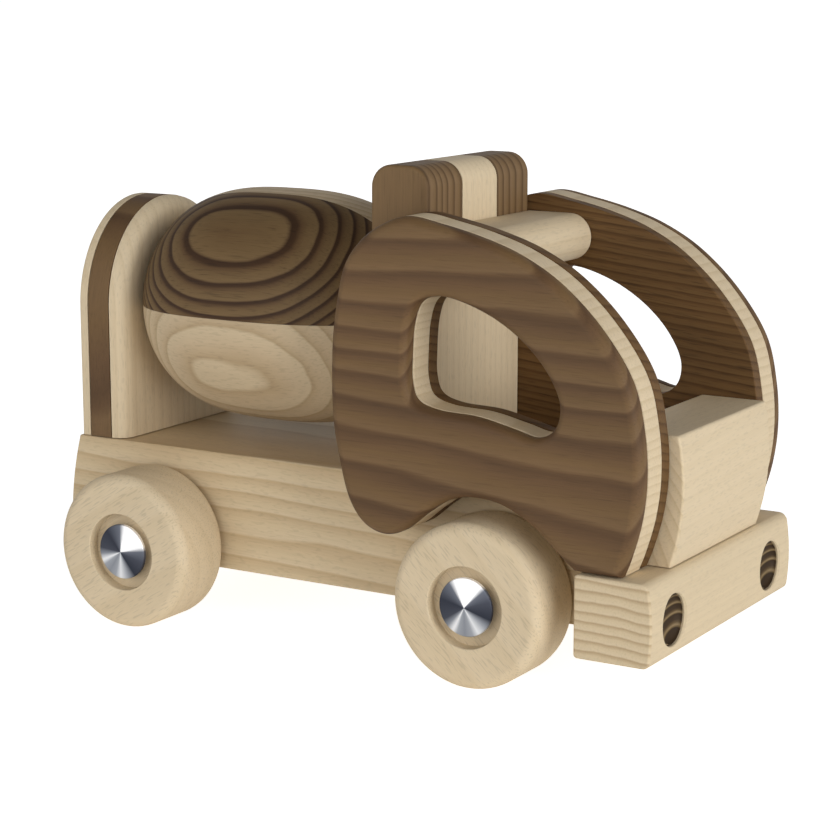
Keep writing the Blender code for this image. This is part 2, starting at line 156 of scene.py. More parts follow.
def bulge(x: float, middle: float, radius: float, low: float, high: float, count: int) -> np.ndarray:
    """Points up a bulging end: x less the sagitta of a circle of a large signed radius.

    Args:
        x: the furthest point's place.
        middle: its height.
        radius: the circle's radius, positive where the end faces +X.
        low: lowest height.
        high: highest height.
        count: how many points.

    Returns:
        An array of points, x and z.
    """
    z = np.linspace(low, high, count)
    sagitta = abs(radius) - np.sqrt(radius**2 - (z - middle) ** 2)
    return np.column_stack([x - np.sign(radius) * sagitta, z])


def inward(loop: np.ndarray) -> np.ndarray:
    """The mitred inward offset of each point of an anticlockwise loop for a distance of one.

    It is the mean of the two edges' left normals, lengthened by one over its cosine with them.

    Args:
        loop: points, two columns.

    Returns:
        Offset vectors, two columns.
    """
    before = loop - np.roll(loop, 1, 0)
    after = np.roll(loop, -1, 0) - loop
    before /= np.linalg.norm(before, axis=1, keepdims=True)
    after /= np.linalg.norm(after, axis=1, keepdims=True)
    edge = np.column_stack([-before[:, 1], before[:, 0]])
    mean = edge + np.column_stack([-after[:, 1], after[:, 0]])
    mean /= np.linalg.norm(mean, axis=1, keepdims=True)
    return mean / np.maximum((mean * edge).sum(1, keepdims=True), 0.5)


def quarter_round(station: float, radius: float, outwards: float, count: int = 6) -> np.ndarray:
    """Levels of a quarter circle that turns from a board's rim on to its face.

    At angle a the inset is radius times one less cosine, and the station falls short of the face
    by radius times one less sine.

    Args:
        station: where the face is.
        radius: the circle's radius.
        outwards: +1 where the face looks along the axis, -1 where it looks back.
        count: how many levels.

    Returns:
        An array of levels, station and inset, from the rim to the face.
    """
    turn = np.linspace(0, math.pi / 2, count)
    return np.column_stack([station - outwards * radius * (1 - np.sin(turn)),
                            radius * (1 - np.cos(turn))])


def surface(name: str, rings: np.ndarray, looped: bool) -> bpy.types.Object:
    """Puts a closed grid of points into a new object, with its faces outwards.

    Ring k joins ring k + 1 by quads. A looped grid also joins its last ring to its first; any
    other grid is closed at each end by a fan round the end ring's middle.

    Args:
        name: the object's name.
        rings: points in metres, ring by ring: rings, points in a ring, 3.
        looped: whether the rings run round in a loop.

    Returns:
        The new object, linked to the scene.
    """
    count, around = rings.shape[:2]
    points = rings.reshape(-1, 3)
    index = np.arange(count * around).reshape(count, around)
    there = np.roll(index, -1, 0) if looped else index[1:]
    here = index if looped else index[:-1]
    quads = np.stack([here, np.roll(here, -1, 1), np.roll(there, -1, 1), there], -1).reshape(-1, 4)
    triangles = np.zeros((0, 3), int)
    if not looped:
        poles = np.stack([rings[0].mean(0), rings[-1].mean(0)])
        points = np.vstack([points, poles])
        first, last = index[0], index[-1]
        low = np.column_stack([np.roll(first, -1), first, np.full(around, count * around)])
        high = np.column_stack([last, np.roll(last, -1), np.full(around, count * around + 1)])
        triangles = np.vstack([low, high])
    split = np.vstack([quads[:, [0, 1, 2]], quads[:, [0, 2, 3]], triangles])
    corners = points[split] - points.mean(0)
    volume = np.einsum("ij,ij->i", corners[:, 0], np.cross(corners[:, 1], corners[:, 2])).sum()
    if volume < 0:
        quads, triangles = quads[:, ::-1], triangles[:, ::-1]
    mesh = bpy.data.meshes.new(name)
    mesh.from_pydata(points.tolist(), [], quads.tolist() + triangles.tolist())
    piece = bpy.data.objects.new(name, mesh)
    bpy.context.scene.collection.objects.link(piece)
    return piece


@dataclass
class Datum:
    """Turns the lorry's own millimetres into the frame's metres."""

    x0: float = field(default_factory=lambda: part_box("upright_back_layer")[0].x)

    def metres(self, points: np.ndarray) -> np.ndarray:
        """Points in metres in the frame, from points in the lorry's millimetres."""
        return points * MM + np.array([self.x0, 0.0, 0.0])

    def span(self, node: str) -> tuple[np.ndarray, np.ndarray]:
        """A CAD node's lowest and highest corners in the lorry's millimetres.

        Args:
            node: the CAD node's name.

        Returns:
            The two corners.
        """
        shift = np.array([self.x0, 0.0, 0.0])
        low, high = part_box(node)
        return (np.array(low) - shift) / MM, (np.array(high) - shift) / MM


def slab(name: str, datum: Datum, axis: Axis, outline: np.ndarray, levels: np.ndarray,
         floor: float | None = None) -> bpy.types.Object:
    """A board: its outline carried through levels of station and inset, and closed by flat faces.

    Each ring is the outline moved inwards by the level's inset, which is never more than the
    radius of the outline's own rounded corners, so that no ring folds over.

    Args:
        name: the object's name.
        datum: the lorry's datum.
        axis: the axis that the stations are on.
        outline: anticlockwise points, two columns.
        levels: station and inset, two columns.
        floor: where given, points this low keep their height, so that a foot stays flat.

    Returns:
        The new object.
    """
    offset = inward(outline)
    if floor is not None:
        offset[outline[:, 1] < floor] *= (1.0, 0.0)
    loops = outline[None] + offset[None] * levels[:, 1, None, None]
    stations = np.broadcast_to(levels[:, 0, None], loops.shape[:2])
    return surface(name, datum.metres(axis.place(loops[..., 0], loops[..., 1], stations)), False)


def eased(low: float, high: float, low_round: float, high_round: float) -> np.ndarray:
    """Levels of a board whose two rims are rounded: a quarter circle, the rim, a quarter circle."""
    return np.vstack([quarter_round(low, low_round, -1.0)[::-1], quarter_round(high, high_round, 1.0)])


def turning(name: str, datum: Datum, axis: Axis, centre: Sequence[float], profile: np.ndarray,
            around: int, start: float = 0.0, sweep: float = 360.0) -> bpy.types.Object:
    """A turned piece: at each angle, station s and radius r give the point at s along the axis.

    A whole turn makes a looped grid, whose sections are closed round a bore. A part of a turn is
    a wedge, closed at both ends by its own section.

    Args:
        name: the object's name.
        datum: the lorry's datum.
        axis: the centre line's direction.
        centre: a point on the centre line.
        profile: the closed section, station and radius, two columns.
        around: how many angles.
        start: first angle in degrees.
        sweep: how far the section is carried, in degrees.

    Returns:
        The new object.
    """
    whole = sweep == 360.0
    turn = np.radians(start + np.linspace(0, sweep, around, endpoint=not whole))[:, None]
    station, radius = profile[None, :, 0], profile[None, :, 1]
    points = axis.place(radius * np.cos(turn), radius * np.sin(turn),
                        np.broadcast_to(station, (len(turn), len(profile))))
    return surface(name, datum.metres(points + np.asarray(centre)), whole)


def spindle(name: str, datum: Datum, axis: Axis, centre: Sequence[float], profile: np.ndarray,
            around: int) -> bpy.types.Object:
    """A solid turning, whose section starts and ends at the centre line.

    Args:
        name: the object's name.
        datum: the lorry's datum.
        axis: the centre line's direction.
        centre: a point on the centre line.
        profile: station and radius without the two poles, two columns.
        around: how many angles.

    Returns:
        The new object.
    """
    turn = np.radians(np.linspace(0, 360, around, endpoint=False))[None, :]
    station, radius = profile[:, 0, None], profile[:, 1, None]
    points = axis.place(radius * np.cos(turn), radius * np.sin(turn),
                        np.broadcast_to(station, (len(profile), around)))
    return surface(name, datum.metres(points + np.asarray(centre)), False)


def applied(piece: bpy.types.Object) -> None:
    """Turns a piece's modifiers into plain mesh.

    Args:
        piece: the object, which keeps its name.
    """
    bpy.context.view_layer.update()
    shape = bpy.data.meshes.new_from_object(piece.evaluated_get(bpy.context.evaluated_depsgraph_get()))
    piece.modifiers.clear()
    piece.data = shape
    shape.name = piece.name


def cut(piece: bpy.types.Object, cutter: bpy.types.Object) -> None:
    """Takes a cutter's shape out of a piece, and removes the cutter.

    Args:
        piece: the object to cut.
        cutter: the closed shape to take away.
    """
    step = piece.modifiers.new("cut", "BOOLEAN")
    step.operation = "DIFFERENCE"
    step.object = cutter
    applied(piece)
    bpy.data.objects.remove(cutter)


# ---------------------------------------------------------------------------------------------
# Finishes
# ---------------------------------------------------------------------------------------------


def linear(colour: str) -> tuple[float, float, float, float]:
    """An sRGB hex colour as linear red, green, blue and alpha.

    Args:
        colour: the colour, such as #C8B28D.

    Returns:
        Four parts, each from 0 to 1.
    """
    parts = [int(colour[i:i + 2], 16) / 255 for i in (1, 3, 5)]
    parts = [c / 12.92 if c <= 0.04045 else ((c + 0.055) / 1.055) ** 2.4 for c in parts]
    return (parts[0], parts[1], parts[2], 1.0)


def add(tree: bpy.types.NodeTree, kind: str, inputs: dict[Any, Any], output: int | str = 0,
        stops: Stops = (), **settings: Any) -> bpy.types.NodeSocket:
    """Adds a node with its settings, and sets or links its inputs.

    Args:
        tree: the material's node tree.
        kind: the node's type name.
        inputs: input name or number to a value, or to the socket that feeds it.
        output: which of the node's outputs is wanted.
        stops: a colour ramp's positions and sRGB colours.
        settings: the node's own properties.

    Returns:
        The output's socket.
    """
    node = tree.nodes.new(kind)
    for name, value in settings.items():
        setattr(node, name, value)
    for name, value in inputs.items():
        if isinstance(value, bpy.types.NodeSocket):
            tree.links.new(value, node.inputs[name])
        else:
            node.inputs[name].default_value = value
    if stops:
        elements = node.color_ramp.elements
        while len(elements) < len(stops):
            elements.new(0.5)
        for element, (position, colour) in zip(elements, stops):
            element.position = position
            element.color = linear(colour)
    return node.outputs[output]


def new_tree(name: str) -> tuple[bpy.types.Material, bpy.types.NodeTree, bpy.types.Node]:
    """A material with only a Principled shader.

    Args:
        name: the material's name.

    Returns:
        The material, its tree and its shader.
    """
    material = bpy.data.materials.new(name)
    material.use_nodes = True
    return material, material.node_tree, material.node_tree.nodes["Principled BSDF"]


@dataclass(frozen=True)
class Timber:
    """Planed or turned wood, cut from a log whose growth rings run through the whole piece.

    Distances are millimetres from the piece's centre. A point's ring number is its depth along
    the ring direction, fanned out along the grain, bent by slow noise and by the distance to the
    log's middle, over the ring spacing. Beyond end_reach along the grain lies the end grain,
    which shows the rings in full; elsewhere they show at face_contrast.
    """

    name: str
    slot: str
    ring_colours: Stops
    grain: tuple[float, float, float] = (1.0, 0.0, 0.0)
    rings: tuple[float, float, float] = (0.0, 0.0, 1.0)
    spacing: float = 3.0
    pith: float = 200.0
    wobble: float = 1.5
    wobble_length: float = 70.0
    wobble_width: float = 18.0
    uneven: float = 0.8
    fibre: float = 0.16
    pores: float = 0.3
    pore_size: tuple[float, float] = (7.0, 0.42)
    flecks: float = 0.0
    fleck_size: tuple[float, float] = (2.4, 0.5)
    tone: float = 0.16
    fan: float = 0.0
    fan_from: float = 0.0
    end_reach: float = 1000.0
    face_contrast: float = 1.0
    roughness: float = 0.6
    seed: float = 0.0

    def frame_axes(self) -> tuple[Vector, Vector, Vector]:
        """The grain, across and ring directions, as unit vectors at right angles.

        Returns:
            The three directions.
        """
        along = Vector(self.grain).normalized()
        depth = Vector(self.rings)
        depth = (depth - along * depth.dot(along)).normalized()
        return along, depth.cross(along), depth

    def cells(self) -> dict[str, tuple[float, float, float, float, float]]:
        """The noises that vary the wood.

        Returns:
            For each: its cells' length, width and depth in millimetres, its detail and its salt.
        """
        return {
            "bend": (self.wobble_length, self.wobble_width, self.wobble_width, 2, 3.1),
            "crowd": (400.0, 400.0, 4.5 * self.spacing, 1, 8.3),
            "fibre": (28.0, 0.5, 0.5, 3, 1.7),
            "pore": (self.pore_size[0], self.pore_size[1], self.pore_size[1], 1, 5.9),
            "fleck": (self.fleck_size[0], self.fleck_size[1], self.fleck_size[1], 0, 12.4),
            "slow": (80.0, 16.0, 16.0, 2, 21.0),
        }

    def build(self, centre: Vector) -> bpy.types.Material:
        """Builds the material: ring bands, then fibres, pores, flecks and slow changes of tone.

        Args:
            centre: the piece's centre, in metres.

        Returns:
            The material.
        """
        material, tree, shader = new_tree(self.name)
        place = add(tree, "ShaderNodeTexCoord", {}, "Object")
        place = add(tree, "ShaderNodeVectorMath", {0: place, 1: centre}, operation="SUBTRACT")
        place = add(tree, "ShaderNodeVectorMath", {0: place, 3: 1 / MM}, operation="SCALE")
        along, across, depth = (
            add(tree, "ShaderNodeVectorMath", {0: place, 1: axis}, 1, operation="DOT_PRODUCT")
            for axis in self.frame_axes())
        stock = add(tree, "ShaderNodeCombineXYZ", {0: along, 1: across, 2: depth})
        noise = {}
        for name, (length, width, deep, detail, salt) in self.cells().items():
            scaled = add(tree, "ShaderNodeVectorMath",
                         {0: stock, 1: (1 / length, 1 / width, 1 / deep), 2: (salt + self.seed,) * 3},
                         operation="MULTIPLY_ADD")
            noise[name] = add(tree, "ShaderNodeTexNoise", {"Vector": scaled, "Scale": 1.0, "Detail": detail})
        for name, (low, high) in {"pore": (0.56, 0.72), "fleck": (0.6, 0.7)}.items():
            noise[name] = add(tree, "ShaderNodeMapRange",
                              {"Value": noise[name], "From Min": low, "From Max": high})

        # Ring number: the bent, fanned depth and the distance across, from the pith, over the spacing.
        widen = add(tree, "ShaderNodeMath", {0: along, 1: self.fan, 2: 1.0}, operation="MULTIPLY_ADD")
        fanned = add(tree, "ShaderNodeMath", {0: depth, 1: self.fan_from}, operation="SUBTRACT")
        fanned = add(tree, "ShaderNodeMath", {0: fanned, 1: widen}, operation="DIVIDE")
        bent = add(tree, "ShaderNodeMath", {0: noise["bend"], 1: 2 * self.wobble, 2: fanned},
                   operation="MULTIPLY_ADD")
        bent = add(tree, "ShaderNodeMath", {0: bent, 1: self.pith - self.wobble}, operation="ADD")
        reach = add(tree, "ShaderNodeCombineXYZ", {1: across, 2: bent})
        reach = add(tree, "ShaderNodeVectorMath", {0: reach}, 1, operation="LENGTH")
        ring = add(tree, "ShaderNodeMath", {0: reach, 1: 1 / self.spacing, 2: -self.uneven},
                   operation="MULTIPLY_ADD")
        ring = add(tree, "ShaderNodeMath", {0: noise["crowd"], 1: 2 * self.uneven, 2: ring},
                   operation="MULTIPLY_ADD")
        phase = add(tree, "ShaderNodeMath", {0: ring}, operation="FRACT")
        rings = add(tree, "ShaderNodeValToRGB", {"Fac": phase}, stops=self.ring_colours)

        from_middle = add(tree, "ShaderNodeMath", {0: along}, operation="ABSOLUTE")
        end = add(tree, "ShaderNodeMapRange",
                  {"Value": from_middle, "From Min": self.end_reach - 0.5, "From Max": self.end_reach,
                   "To Min": self.face_contrast, "To Max": 1.0})
        bands = add(tree, "ShaderNodeMix", {0: end, 6: linear(self.ring_colours[0][1]), 7: rings}, 2,
                    data_type="RGBA")
        shade = 1 - self.fibre - self.tone
        relief = 0.0
        for name, darker, higher in (("fibre", 2 * self.fibre, 1.0), ("slow", 2 * self.tone, 0.0),
                                     ("pore", -self.pores, -0.8), ("fleck", -self.flecks, -0.3)):
            shade = add(tree, "ShaderNodeMath", {0: noise[name], 1: darker, 2: shade},
                        operation="MULTIPLY_ADD")
            relief = add(tree, "ShaderNodeMath", {0: noise[name], 1: higher, 2: relief},
                         operation="MULTIPLY_ADD")
        gloss = add(tree, "ShaderNodeMath", {0: noise["fibre"], 1: 0.16, 2: self.roughness - 0.08},
                    operation="MULTIPLY_ADD")
        sockets = {
            "Base Color": add(tree, "ShaderNodeVectorMath", {0: bands, 3: shade}, operation="SCALE"),
            "Normal": add(tree, "ShaderNodeBump",
                          {"Strength": 0.35, "Distance": 0.05 * MM, "Height": relief}),
            "Roughness": gloss,
        }
        for name, socket in sockets.items():
            tree.links.new(socket, shader.inputs[name])
        shader.inputs["Specular IOR Level"].default_value = 0.25
        return material


# Heat-treated ash, planed: brown, with wide growth bands whose latewood edge is darkest.
ASH = Timber(
    name="heat_treated_ash_planed",
    slot="heat_treated_ash",
    ring_colours=((0.0, "#765C3E"), (0.3, "#715738"), (0.6, "#674D33"), (0.8, "#5B432C"),
                  (0.9, "#624930"), (1.0, "#765C3E")),
    spacing=6.6, pith=300.0, wobble=2.2, wobble_length=60.0, wobble_width=16.0, uneven=1.0,
    fibre=0.15, pores=0.12, tone=0.2,
)
# Beech, fine-sanded: pale pink-tan with faint growth lines and short darker rays.
BEECH = Timber(
    name="beech_sanded",
    slot="beech",
    ring_colours=((0.0, "#DCC9A9"), (0.5, "#D9C5A4"), (0.88, "#C9B28C"), (1.0, "#DCC9A9")),
    spacing=3.0, wobble=1.2, uneven=0.9, fibre=0.06, pores=0.03, flecks=0.07, tone=0.06,
    face_contrast=0.35,
)


@dataclass(frozen=True)
class SteelWithPaintedHighlights:
    """Nickel-plated steel, spun, with painted highlights and reflections: light and dark rays round the centre
    are painted into the base colour, in place of the rays that turning marks throw.

    The painted glow makes the light rays glow a little by emission: a painted highlight in place of a polished
    face that mirrors a lamp.
    """

    name: str
    slot: str = "spun_cap"
    turn: float = 0.0
    # Painted reflections: the white stops are painted highlights and the dark stops are painted dark reflections,
    # set by angle round the cap.
    rays: Stops = (
        (0.0, "#8D9199"), (0.05, "#A2A6AD"), (0.08, "#F2F3F5"), (0.12, "#8D9199"), (0.16, "#4A4D57"),
        (0.28, "#3A3D47"), (0.39, "#6A6E78"), (0.43, "#FFFFFF"), (0.60, "#FFFFFF"), (0.63, "#6A6E78"),
        (0.70, "#4A4D57"), (0.80, "#363943"), (0.85, "#9A9EA6"), (0.91, "#E5E7EA"), (0.95, "#A2A6AD"),
        (1.0, "#8D9199"))
    # Emission strength of the painted highlight glow.
    painted_glow: float = 0.22
    roughness: float = 0.42

    def build(self, centre: Vector) -> bpy.types.Material:
        """Builds the finish for one cap, with its painted highlight and reflection rays about the cap's own
        centre.

        Args:
            centre: the cap's centre, in metres.

        Returns:
            The material.
        """
        material, tree, shader = new_tree(self.name)
        place = add(tree, "ShaderNodeTexCoord", {}, "Object")
        away = add(tree, "ShaderNodeVectorMath", {0: place, 1: tuple(centre)}, operation="SUBTRACT")
        x, z = (add(tree, "ShaderNodeSeparateXYZ", {0: away}, i) for i in (0, 2))
        turn = add(tree, "ShaderNodeMath", {0: x, 1: z}, operation="ARCTAN2")
        share = add(tree, "ShaderNodeMath", {0: turn, 1: 1 / (2 * math.pi), 2: 0.5 + self.turn},
                    operation="MULTIPLY_ADD")
        share = add(tree, "ShaderNodeMath", {0: share}, operation="FRACT")
        rays = add(tree, "ShaderNodeValToRGB", {"Fac": share}, stops=self.rays)
        # The painted highlight and reflection rays go into the base colour and into the emission, so the light
        # rays glow.
        for socket in ("Base Color", "Emission Color"):
            tree.links.new(rays, shader.inputs[socket])
        shader.inputs["Emission Strength"].default_value = self.painted_glow
        flat = add(tree, "ShaderNodeVectorMath", {0: away, 1: (1, 0, 1)}, operation="MULTIPLY")
        radius = add(tree, "ShaderNodeVectorMath", {0: flat}, 1, operation="LENGTH")
        grooves = add(tree, "ShaderNodeTexNoise", {"W": radius, "Scale": 1 / (0.25 * MM), "Detail": 2.0},
                      noise_dimensions="1D")
        bump = add(tree, "ShaderNodeBump", {"Strength": 0.25, "Distance": 0.02 * MM, "Height": grooves})
        tree.links.new(bump, shader.inputs["Normal"])
        shader.inputs["Metallic"].default_value = 1.0
        shader.inputs["Roughness"].default_value = self.roughness
        return material


@dataclass(frozen=True)
class DrawnSteel:
    """Drawn steel rod: even grey metal with fine marks along its length."""

    name: str = "mild_steel_drawn"

    def build(self) -> bpy.types.Material:
        """Builds the material.

        Returns:
            The material.
        """
        material, tree, shader = new_tree(self.name)
        place = add(tree, "ShaderNodeTexCoord", {}, "Object")
        scaled = add(tree, "ShaderNodeVectorMath", {0: place, 1: (4000.0, 60.0, 4000.0)}, operation="MULTIPLY")
        marks = add(tree, "ShaderNodeTexNoise", {"Vector": scaled, "Scale": 1.0})
        greys = add(tree, "ShaderNodeValToRGB", {"Fac": marks}, stops=((0.0, "#8E9094"), (1.0, "#C4C6CA")))
        tree.links.new(greys, shader.inputs["Base Color"])
        shader.inputs["Metallic"].default_value = 1.0
        shader.inputs["Roughness"].default_value = 0.35
        return material


# ---------------------------------------------------------------------------------------------
# Sub-assemblies
# ---------------------------------------------------------------------------------------------


def settle(piece: bpy.types.Object, node: str, body: str, finish: Timber | SteelWithPaintedHighlights) -> None:
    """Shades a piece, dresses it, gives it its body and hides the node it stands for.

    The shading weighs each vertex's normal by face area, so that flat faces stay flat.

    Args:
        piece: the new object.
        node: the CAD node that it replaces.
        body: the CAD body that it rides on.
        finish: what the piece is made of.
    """
    piece.data.shade_smooth()
    piece.data.set_sharp_from_angle(angle=SMOOTH_ANGLE)
    shading = piece.modifiers.new("flat faces", "WEIGHTED_NORMAL")
    shading.mode = "FACE_AREA"
    shading.weight = 50
    shading.keep_sharp = True
    applied(piece)
    corners = np.array(piece.bound_box)
    piece.data.materials.clear()
    piece.data.materials.append(finish.build(Vector((corners.min(0) + corners.max(0)) / 2)))
    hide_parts(node)
    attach(piece, body)
    LOG.info("%s: %d faces, in place of %s", piece.name, len(piece.data.polygons), node)


@dataclass
class Chassis:
    """The board that carries everything, with a bulging rear end and two axle bores."""

    datum: Datum
    rear_radius: float = 96.0
    rear_middle: float = 22.0
    edge: float = 0.5
    corner: float = 0.6
    bore: float = 2.8

    def build(self) -> None:
        """Makes the board and bores it."""
        low, high = self.datum.span("chassis_board")
        r = self.corner
        rear = bulge(low[0], self.rear_middle, -self.rear_radius, low[2] + r, high[2] - r, 16)[::-1]
        outline = np.vstack([
            arc((high[0] - r, low[2] + r), (r, r), -90, 0, 5),
            arc((high[0] - r, high[2] - r), (r, r), 0, 90, 5),
            arc((rear[0, 0] + r, high[2] - r), (r, r), 90, 165, 5), rear[1:-1],
            arc((rear[-1, 0] + r, low[2] + r), (r, r), 185, 270, 5),
        ])
        board = slab("chassis", self.datum, Axis.Y, outline, eased(low[1], high[1], self.edge, self.edge))
        for row in ("rear", "front"):
            axle_low, axle_high = self.datum.span(f"{row}_axle")
            centre = (axle_low + axle_high) / 2
            rod = np.array([[axle_low[1], self.bore], [axle_high[1], self.bore]])
            cut(board, spindle("bore", self.datum, Axis.Y, (centre[0], 0, centre[2]), rod, 48))
        finish = replace(
            BEECH, name="beech_chassis_board", grain=(1, 0, -0.03), rings=(0, 0.3, 1), spacing=5.5, pith=50,
            ring_colours=((0.0, "#D8C4A2"), (0.4, "#D5C09C"), (0.78, "#CBB38E"), (0.9, "#C5AC86"),
                          (1.0, "#D8C4A2")),
            wobble=3.0, wobble_length=70, wobble_width=12, uneven=1.0, face_contrast=1.0, fibre=0.09,
            flecks=0.08, seed=2.0)
        settle(board, "chassis_board", "root", finish)


@dataclass
class Upright:
    """Three arched boards, glued face to face; the front one has its edge rounded over."""

    datum: Datum
    spring: float = 86.8
    edge: float = 0.5
    glue_edge: float = 0.15
    big_round: float = 4.5

    def build(self) -> None:
        """Makes the three boards."""
        warm = replace(BEECH, grain=(0, 0, 1), rings=(0.3, 1, 0), spacing=3.4, pith=90)
        dark = replace(ASH, name="heat_treated_ash_upright", grain=(0.1, 0.2, 1), rings=(0.1, 1, 0),
                       spacing=9.0, wobble=0.5, pith=200, seed=4.0)
        finishes = {
            "upright_back_layer": (replace(warm, name="beech_upright_back", seed=1.3),
                                   self.edge * 2, self.glue_edge),
            "upright_middle_layer": (dark, self.glue_edge, self.glue_edge),
            "upright_front_layer": (replace(warm, name="beech_upright_front", seed=3.1),
                                    self.glue_edge, self.big_round),
        }
        for node, (finish, rear_round, front_round) in finishes.items():
            low, high = self.datum.span(node)
            half = high[1]
            arch = arc((0, self.spring), (half, high[2] - self.spring), 0, 180, 72)
            foot = np.array([[-half, low[2]], [half, low[2]], [half, low[2] + 2], [half, low[2] + 12]])
            outline = np.vstack([foot, arch, [[-half, low[2] + 12], [-half, low[2] + 2]]])
            levels = eased(low[0], high[0], rear_round, front_round)
            board = slab(node.replace("_layer", "_board"), self.datum, Axis.X, outline, levels, low[2] + 0.5)
            settle(board, node, "root", finish)


@dataclass
class Drum:
    """A turned barrel of four glued quarters that runs on a hidden pin."""

    datum: Datum
    widest: float = 53.1
    height: float = 88.1
    radius: float = 33.3
    rear_reach: float = 42.1
    front_reach: float = 47.5
    fullness: float = 2.85
    bore: float = 4.5
    glue: float = 0.02
    edge: float = 0.8
    stations: int = 64
    around: int = 49
    seams: dict[str, tuple[float, float]] = field(default_factory=lambda: {
        "upper_far": (0.3, 103.0), "upper_near": (103.0, 180.3),
        "lower_near": (180.3, 283.0), "lower_far": (283.0, 360.3)})

    def barrel(self, x: np.ndarray) -> np.ndarray:
        """The barrel's radius at x: its largest times the root of one less a power of the distance."""
        reach = np.where(x < self.widest, self.rear_reach, self.front_reach)
        return self.radius * np.sqrt(1 - (np.abs(x - self.widest) / reach) ** self.fullness)

    def section(self) -> np.ndarray:
        """The closed section of a quarter: the barrel's curve, eased at both ends, and its bore.

        Returns:
            Station and radius, two columns.
        """
        low, high = self.datum.span("drum_quarter_upper_near")
        x = low[0] + (high[0] - low[0]) * (1 - np.cos(np.linspace(0, math.pi, self.stations))) / 2
        curve = np.column_stack([x - self.widest, self.barrel(x)])
        curve[0, 1] -= self.edge
        curve[-1, 1] -= self.edge
        return np.vstack([curve, [[curve[-1, 0], self.bore], [curve[0, 0], self.bore]]])

    def finishes(self) -> dict[str, Timber]:
        """The timber of each quarter: rings are nearly flat, and the turned face cuts them into ovals.

        Returns:
            The finish for each quarter's place.
        """
        dark = replace(
            ASH, name="heat_treated_ash_turned_drum", grain=(1, 0, 0), spacing=1.95, pith=141.1,
            ring_colours=((0.0, "#78603F"), (0.4, "#6F5738"), (0.6, "#5F472D"), (0.74, "#422C19"),
                          (0.88, "#3D2816"), (0.95, "#6A5337"), (1.0, "#78603F")),
            wobble=0.45, wobble_length=30.0, wobble_width=14.0, uneven=0.3, fibre=0.18, pores=0.26)
        light = replace(
            BEECH, name="beech_turned_drum", grain=(1, 0, 0), spacing=2.3, pith=150.0, wobble=0.8,
            wobble_length=26.0, wobble_width=16.0, fibre=0.08, flecks=0.1, face_contrast=0.8,
            ring_colours=((0.0, "#CDB998"), (0.45, "#C7B190"), (0.78, "#BAA280"), (0.9, "#AD9471"),
                          (1.0, "#CDB998")))
        return {
            "upper_near": replace(dark, rings=(0.0, -0.72, 0.694), seed=0.4),
            "lower_far": replace(dark, name="heat_treated_ash_turned_drum_far",
                                 rings=(0.0, 0.766, -0.643), seed=7.4),
            "lower_near": replace(light, rings=(0.0, -0.848, -0.53), seed=2.2),
            "upper_far": replace(light, name="beech_turned_drum_far", rings=(0.0, 0.6, 0.8), seed=5.2),
        }

    def build(self) -> None:
        """Turns the four quarters."""
        profile = self.section()
        for place, finish in self.finishes().items():
            start, end = self.seams[place]
            middle = math.radians((start + end) / 2)
            away = self.glue / math.sin(math.radians((end - start) / 2))
            centre = (self.widest, away * math.cos(middle), self.height + away * math.sin(middle))
            quarter = turning(f"drum_{place}", self.datum, Axis.X, centre, profile, self.around, start,
                              end - start)
            settle(quarter, f"drum_quarter_{place}", "drum", finish)


